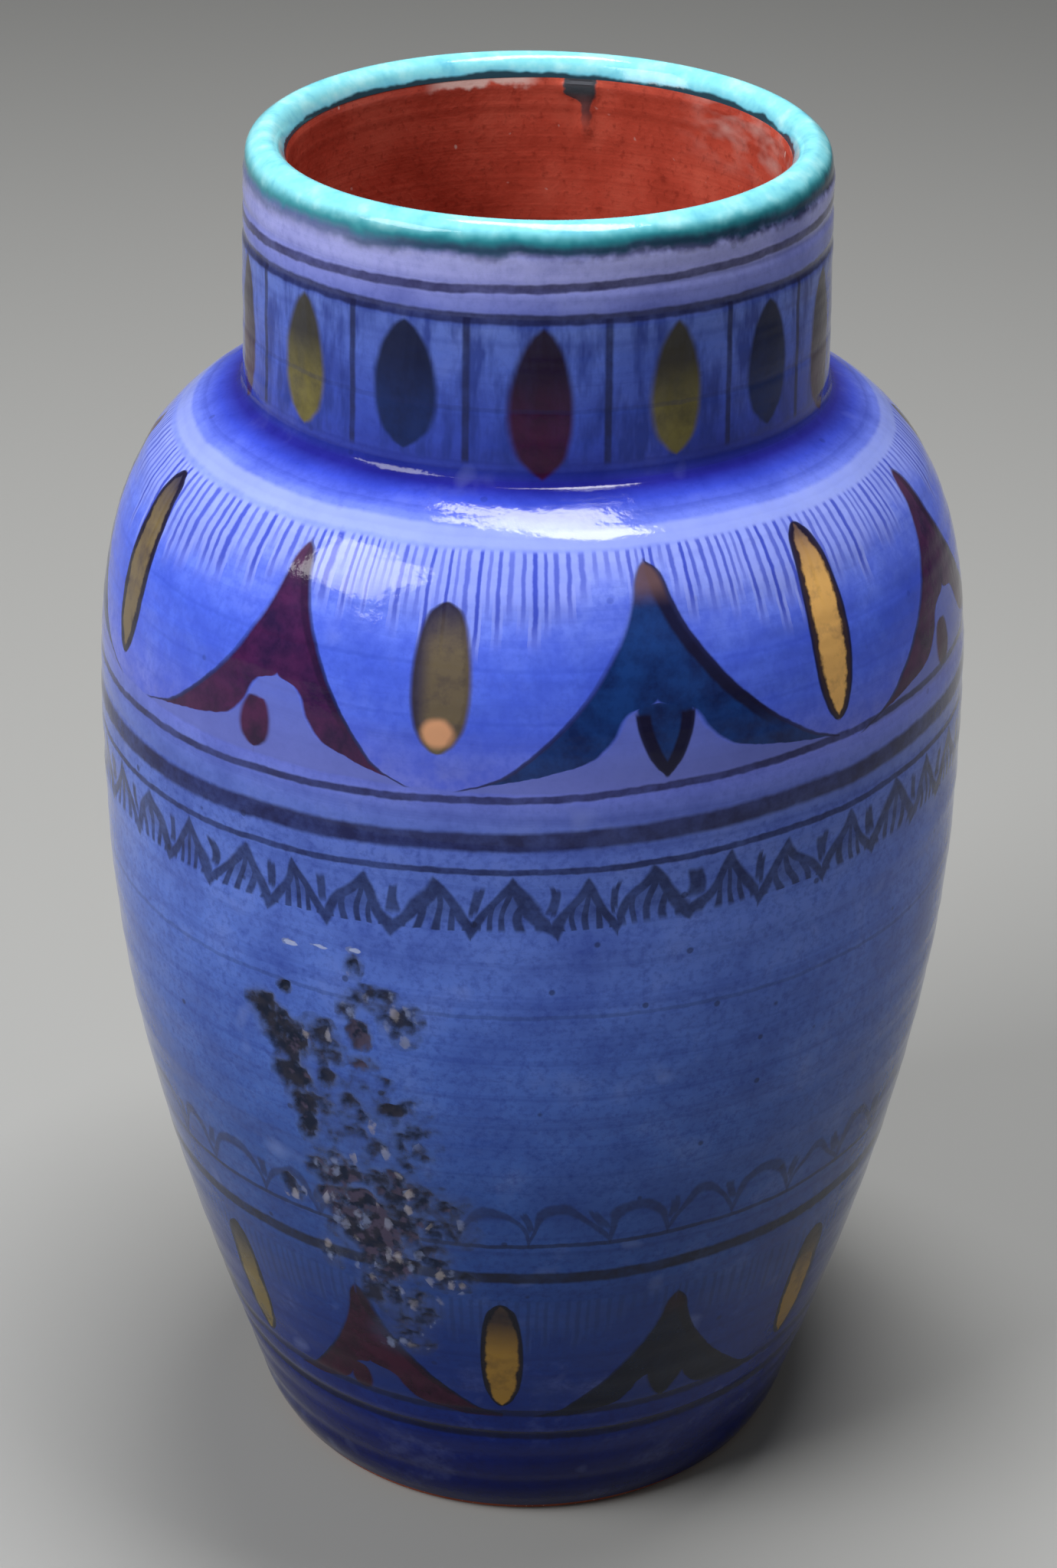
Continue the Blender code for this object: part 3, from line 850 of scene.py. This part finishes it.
# Shoulder glaze: from the joint to the rounded-in crease at the neck
shoulderCoat = dict(
    name="shoulderGlazeCoat", node="shoulder_glaze", slot="cobalt_glaze", material="cobaltGlazeShoulder",
    between=(marks["joint"], marks["crease"]), spacing=0.8, rows=3,
    grooves=[], motifs=shoulderBand,
)
makeCoat(shoulderCoat, paintedGlaze(shoulderCoat))

# Neck glaze: with the shallow grooves that its three lines are painted in
neckCoat = dict(
    name="neckGlazeCoat", node="neck_glaze", slot="cobalt_glaze", material="cobaltGlazeNeck",
    between=(marks["crease"], marks["lip"]), spacing=0.5, rows=3,
    grooves=[(274.8, 0.3, 0.9), (268.8, 0.25, 1.0), (252.4, 0.1, 0.6)],
    leaves=neckRow,
)
makeCoat(neckCoat, paintedGlaze(neckCoat))

# Rim glaze: turquoise over the lip, its lower edge run and uneven over the blue
rimCoat = dict(
    name="rimGlazeCoat", node="rim_glaze", slot="turquoise_glaze", material="turquoiseGlaze",
    between=(marks["lip"], 293.8), spacing=0.45, rows=4,
    grooves=[(281.4, 0.2, 0.9), (284.4, -0.25, 1.4)],  # the glaze swells to a bead above its lower edge
    inner=293.2, relief=0.3,
    full="#86dae6", pale="#bdf2f4", deep="#58b4d2", thin="#4a9cc0", edge="#243e4b",
)


def turquoiseGlaze():
    # opaque glossy turquoise, green and navy where it thins over the blue, a dark line inside;
    # its lower outer face and inner lip are darkened partly as painted shade
    material, add, shader = newMaterial(rimCoat["material"], glazeLook["roughness"])
    space = paintSpace(add)
    colour, off, ragged, thin = paintLipEdge(add, space, glazeGround(add, space, glazeLook["speckle"]))
    full = within(off, 3.0, 0.4)
    colour = cover(colour, rimCoat["full"], full)
    colour = cover(colour, rimCoat["pale"], times(full, add("MapRange", thin, 0.5, 0.75, 0.0, 0.7)))
    colour = cover(colour, rimCoat["deep"], times(full, add("MapRange", thin, 0.46, 0.28, 0.0, 0.6)))
    # thinner towards the mouth, dark at its edge, most of all at the back: thin glaze over the body,
    # with painted shade on the inner lip, deepest at the back
    back = add("MapRange", space["y"], -10.0, 42.0)
    inner = add("SUBTRACT", add("MULTIPLY_ADD", ragged, 2.4, space["handRun"]), rimCoat["inner"] + 1.2)
    colour = cover(colour, rimCoat["thin"], times(within(inner, 0.0, -2.0), 0.6))
    start = add("MULTIPLY_ADD", back, -0.3, -0.4)
    colour = cover(colour, rimCoat["edge"], within(inner, 0.0, start))
    plug(shader, "Base Color", colour)
    glazeRelief(add, space, shader, rimCoat["relief"])
    return material


makeCoat(rimCoat, turquoiseGlaze())

# Lining: the inside, from the middle of the floor to under the lip, in two pieces that meet at the joint
lining = dict(
    depth=7.6, thick=0.6, floor=11.4, floorRound=14.0, mouth=45.4, top=266.4,
    drip=dict(narrows=(265.2, 267.4), halves=(0.9, 3.1), x=(9.0, 7.7), low=259.5, rise=0.6),
    roughness=0.26, dripRoughness=0.8,
    clay=[(0.3, "#ac4030"), (0.5, "#c85240"), (0.7, "#d6634f")], rings="#963528", grain="#852c22",
    strayedAndSheen="#dfbab2", dripPaint="#223c44", rimLine="#2a2a30",
)


def roundedFloor(wall, floor, shares, count):
    # level from the axis outwards, then rounded up into the foot of the wall
    corner = Vector((wall.x, floor))
    edge = Vector((wall.x - lining["floorRound"], floor))
    points = [Vector((edge.x * share, floor)) for share in shares]
    return points + bezier(edge, edge.lerp(corner, 0.6), wall.lerp(corner, 0.6), wall, count)


def insideRun(depth, floor, bore):
    wall = [onRun(run, depth)[0] for run in np.linspace(8, marks["crease"] - 2.5, 90)]
    start = next(p for p in wall if p.y > floor + lining["floorRound"])
    points = roundedFloor(start, floor, np.linspace(0, 0.95, 14), 12)
    points += [p for p in wall if p.y > start.y + 0.5]
    last = points[-1]
    under = Vector((bore, last.y))
    rise = Vector((bore, under.y + 6))
    points += bezier(last, last.lerp(under, 0.7), rise.lerp(under, 0.6), rise, 10)[1:]
    return points + [Vector((bore, z)) for z in np.linspace(rise.y, lining["top"], 50)[1:]]


def liningOutlines():
    deep = lining["depth"] - lining["thick"]
    face = insideRun(lining["depth"], lining["floor"], lining["mouth"])
    back = insideRun(deep, lining["floor"] - lining["thick"], lining["mouth"] + lining["thick"])
    lip = np.linspace(marks["mouth"] - 0.2, rimCoat["between"][1], 8)
    face += [onRun(run)[0] for run in lip]
    back += [onRun(run, vase["glaze"])[0] for run in lip]
    loop = face + back[::-1]
    yield [p for p in loop if p.y < vase["jointHeight"]]
    yield [p for p in loop if p.y >= vase["jointHeight"]]


def raiseDrip(bm):
    # a run of rim glaze stands proud of the lining at the back
    drip = lining["drip"]
    for vert in bm.verts:
        x, y, z = vert.co / mm
        inside = math.hypot(x, y) < lining["mouth"] + 0.3
        if y < 0 or z < drip["low"] - 2 or not inside:
            continue
        wide = ease(z, *drip["narrows"])
        half, middle = [low + (high - low) * wide for low, high in (drip["halves"], drip["x"])]
        share = ease(abs(x - middle), half + 1.0, half - 0.5) * ease(z, drip["low"] - 0.8, drip["low"] + 1.0)
        vert.co.y -= drip["rise"] * share * mm


def terracottaLining():
    # thin satin glaze over red clay: warm brown-red, streaked by the throwing, pale where glaze strayed,
    # with a painted sheen in the pale wipe on the right of the mouth
    material, add, shader = newMaterial("clearLiningOverClay", lining["roughness"])
    space = paintSpace(add)
    place, height = space["place"], space["run"]
    cloud = add("TexNoise", place, 1 / 14, 4.0, 0.6)
    colour = add("ValToRGB", cloud, stops=lining["clay"])
    rings = add("TexNoise", height, 0.3, 3.0, 0.65, noise_dimensions="1D")
    colour = cover(colour, lining["rings"], add("MapRange", rings, 0.48, 0.75, 0.0, 0.5))
    grain = add("TexNoise", place, 1 / 1.4, 2.0, 0.6)
    colour = cover(colour, lining["grain"], add("MapRange", grain, 0.55, 0.75, 0.0, 0.5))
    # pale marks: strayed glaze wiped along the right of the mouth, there also a painted sheen on the glossy
    # inside, a patch at the back, a few specks
    smear = add("VectorMath MULTIPLY", place, (1 / 9, 1 / 9, 1 / 4))
    smear = add("MapRange", add("TexNoise", smear, 1.0, 2.0, 0.5), 0.42, 0.68, 0.0, 0.9)
    onRight = within(awayFrom(space["around"], 0.81), 0.04, 0.1)
    onRight = times(onRight, within(height, 267.0, 256.0), smear, 0.75)
    behind = within(space["y"], 2.0, 0.0)
    ragged = add("MULTIPLY_ADD", add("TexNoise", place, 1 / 4, 3.0), 5.0, height)
    atBack = within(awayFrom(space["x"], -11.0), 7.0, 12.0)
    atBack = times(atBack, behind, within(ragged, 271.6, 270.4), 0.95)
    specks = within(add("TexNoise", place, 1 / 2.4, 1.0), 0.8, 0.74)
    specks = times(specks, within(height, 262.0, 225.0), 0.8)
    colour = cover(colour, lining["strayedAndSheen"], either(onRight, atBack, specks))
    drip = lining["drip"]
    half, middle = [
        add("MapRange", height, *drip["narrows"], *ends, interpolation_type="SMOOTHSTEP")
        for ends in (drip["halves"], drip["x"])
    ]
    edge = add("MULTIPLY_ADD", add("TexNoise", place, 1 / 1.6, 2.0), 1.6, awayFrom(space["x"], middle))
    edge = add("SUBTRACT", edge, half)
    (narrow, wide), low = drip["narrows"], drip["low"]
    inDrip = times(within(edge, 0.5, 1.2), behind, within(height, low + 5.0, low - 0.3))
    inDrip = times(inDrip, add("MapRange", height, narrow - 2.0, wide, 0.6, 0.95))
    colour = cover(colour, lining["dripPaint"], inDrip)
    rimLine = within(height, lining["top"] + 4.4, lining["top"] + 3.6)
    colour = cover(colour, lining["rimLine"], times(rimLine, 0.8))
    plug(shader, "Base Color", colour)
    rough = add("MapRange", inDrip, 0.0, 0.9, lining["roughness"], lining["dripRoughness"])
    plug(shader, "Roughness", rough)
    plug(shader, "Normal", add("Bump", 0.3, 0.0003, None, add("ADD", rings, grain)))
    return material


liningMaterial = terracottaLining()
for name, outline in zip(("lowerLining", "upperLining"), liningOutlines()):
    bm = turnPiece(unhandled(outline), shownSteps)
    raiseDrip(bm)
    settle(bm)
    finishPiece(name, bm, ["inner_glaze"], "clear_lining", liningMaterial)


# Bare clay: the foot shows from below, the rest is under the glaze
clayLook = dict(roughness=0.85, sand="#d8a98c")


def redClay(name, low, high):
    # matt fired earthenware with sand in it
    material, add, shader = newMaterial(name, clayLook["roughness"])
    place = add("VectorMath SCALE", add("TexCoord").node.outputs["Object"], 1000.0)
    cloud = add("TexNoise", place, 1 / 9, 4.0, 0.6)
    colour = add("ValToRGB", cloud, stops=[(0.3, low), (0.7, high)])
    sand = add("TexVoronoi", place, 1 / 1.1)
    colour = cover(colour, clayLook["sand"], within(sand, 0.1, 0.16))
    plug(shader, "Base Color", colour)
    return material


terracotta = redClay("terracotta", "#8a4632", "#a65a42")
slipClay = redClay("lutingSlip", "#96563f", "#b06f57")
for node, material in (("upper_body", terracotta), ("belly_slip", slipClay), ("neck_slip", slipClay)):
    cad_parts[node].data.materials.clear()
    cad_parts[node].data.materials.append(material)

# Foot and lower wall: the bare ring, turned with a tool, shows under the glaze line
lowerClay = dict(
    ring=54.5, ringWidth=7.5, recess=3.0, round=0.7, turningLines=2.1, lineDepth=0.15,
    floor=10.5, shelf=170.7, tongue=176.5, steps=160,
)


def wallRun(depth, low, high, count):
    wall = [onRun(run, depth)[0] for run in np.linspace(0.0, marks["joint"] + 8, 300)]
    levels = np.linspace(low, high, count)
    return [Vector((np.interp(z, [p.y for p in wall], [p.x for p in wall]), z)) for z in levels]


def lowerClayOutline():
    clay = lowerClay
    tongue = clayUnder + (vase["wall"] + vase["gap"]) / 2
    hollow = wallRun(clayUnder + vase["wall"], clay["floor"] + lining["floorRound"], clay["tongue"], 60)
    points = roundedFloor(hollow[0], clay["floor"], (0.0, 0.5), 10)
    points += hollow[1:]
    points += wallRun(tongue, clay["shelf"], clay["tongue"], 6)[::-1]
    points += wallRun(clayUnder, onRun(0.0, clayUnder)[0].y, clay["shelf"], 90)[::-1]
    outer, cut, recess = clay["ring"], clay["round"], clay["recess"]
    inner = outer - clay["ringWidth"]
    ring = [(outer, cut), (outer - cut * 0.3, cut * 0.3), (outer - cut, 0)]
    ring += [(inner + cut, 0), (inner, cut), (inner - 1.0, recess - 0.4)]
    for reach in np.linspace(inner - 1.8, 1.0, 60):
        ring.append((reach, recess + clay["lineDepth"] * math.sin(reach * math.tau / clay["turningLines"])))
    return points + [Vector(place) for place in [*ring, (0, recess)]]


bm = turnPiece(unhandled(lowerClayOutline()), lowerClay["steps"])
finishPiece("lowerBodyClay", bm, ["lower_body"], "terracotta", terracotta)

# Collar: dips with the rim, so it can't stay as it was
collar = dict(bore=46.3, outer=52.6, rise=5.9, ledge=226.2, spigot=49.7, bottom=220.4, steps=96)


def collarOutline():
    crease, neckTop = vase["crease"], vase["neckTop"]
    ledge, spigot, bottom = collar["ledge"], collar["spigot"], collar["bottom"]
    points = halfRound(collar["bore"], collar["outer"], neckTop.y, collar["rise"], 12)
    shelf = np.interp(ledge, [crease.y, neckTop.y], [crease.x, neckTop.x]) - clayUnder
    places = [(shelf, ledge), (spigot, ledge), (spigot, bottom), (collar["bore"], bottom)]
    return points + [Vector(place) for place in places]


bm = turnPiece(unhandled(collarOutline()), collar["steps"])
settle(bm)
finishPiece("neckCollarClay", bm, ["neck_collar"], "terracotta", terracotta)

# Floor, light and camera
studio = dict(floorHalf=4, paper="#a8a8a6", paperRoughness=0.9, world=0.11)
floorMesh = bpy.data.meshes.new("studioFloor")
bm = bmesh.new()
bmesh.ops.create_grid(bm, x_segments=1, y_segments=1, size=studio["floorHalf"])
bm.to_mesh(floorMesh)
bm.free()
floor = bpy.data.objects.new("studioFloor", floorMesh)
scene.collection.objects.link(floor)
paper, _, shader = newMaterial("palePaper", studio["paperRoughness"])
shader.inputs["Base Color"].default_value = linear(studio["paper"])
floorMesh.materials.append(paper)

world = bpy.data.worlds.new("studio")
scene.world = world
world.use_nodes = True
sky = world.node_tree.nodes["Background"].inputs
sky["Color"].default_value = (1, 1, 1, 1)
sky["Strength"].default_value = studio["world"]

# softboxes: name, place in m, aim in m, size in m, power in W
softboxes = [
    ("keyLight", (-1.5, -0.9, 1.7), (0, 0, 0.15), (1.1, 1.1), 39.0),
    ("topLight", (0.05, 0.07, 1.25), (0, 0, 0.2), (0.62, 0.26), 11.8),
    ("fillLight", (1.6, -1.3, 1.1), (0, 0, 0.14), (2.2, 2.2), 0.6),
]
for name, place, aim, size, power in softboxes:
    light = bpy.data.lights.new(name, "AREA")
    light.shape = "RECTANGLE"
    light.size, light.size_y = size
    light.energy = power
    box = bpy.data.objects.new(name, light)
    towards = (Vector(aim) - Vector(place)).to_track_quat("-Z", "Y")
    box.matrix_world = Matrix.Translation(place) @ towards.to_matrix().to_4x4()
    scene.collection.objects.link(box)

# camera fitted to the photograph's outline, lip and painted rings
shot = dict(place=(0, -0.5465, 0.42497), pitch=0.4806, roll=0.013, yaw=-0.0008, lens=70.45)
turned = Matrix.Rotation(-shot["yaw"], 4, "Z") @ Matrix.Rotation(math.pi / 2 - shot["pitch"], 4, "X")
turned = turned @ Matrix.Rotation(shot["roll"], 4, "Z")
camera = bpy.data.objects.new("camera", bpy.data.cameras.new("camera"))
camera.data.sensor_fit = "VERTICAL"
camera.data.sensor_height = 36
camera.data.lens = shot["lens"]
camera.data.clip_start = 0.01
camera.matrix_world = Matrix.Translation(shot["place"]) @ turned
scene.collection.objects.link(camera)
scene.camera = camera
scene.view_settings.view_transform = "Standard"
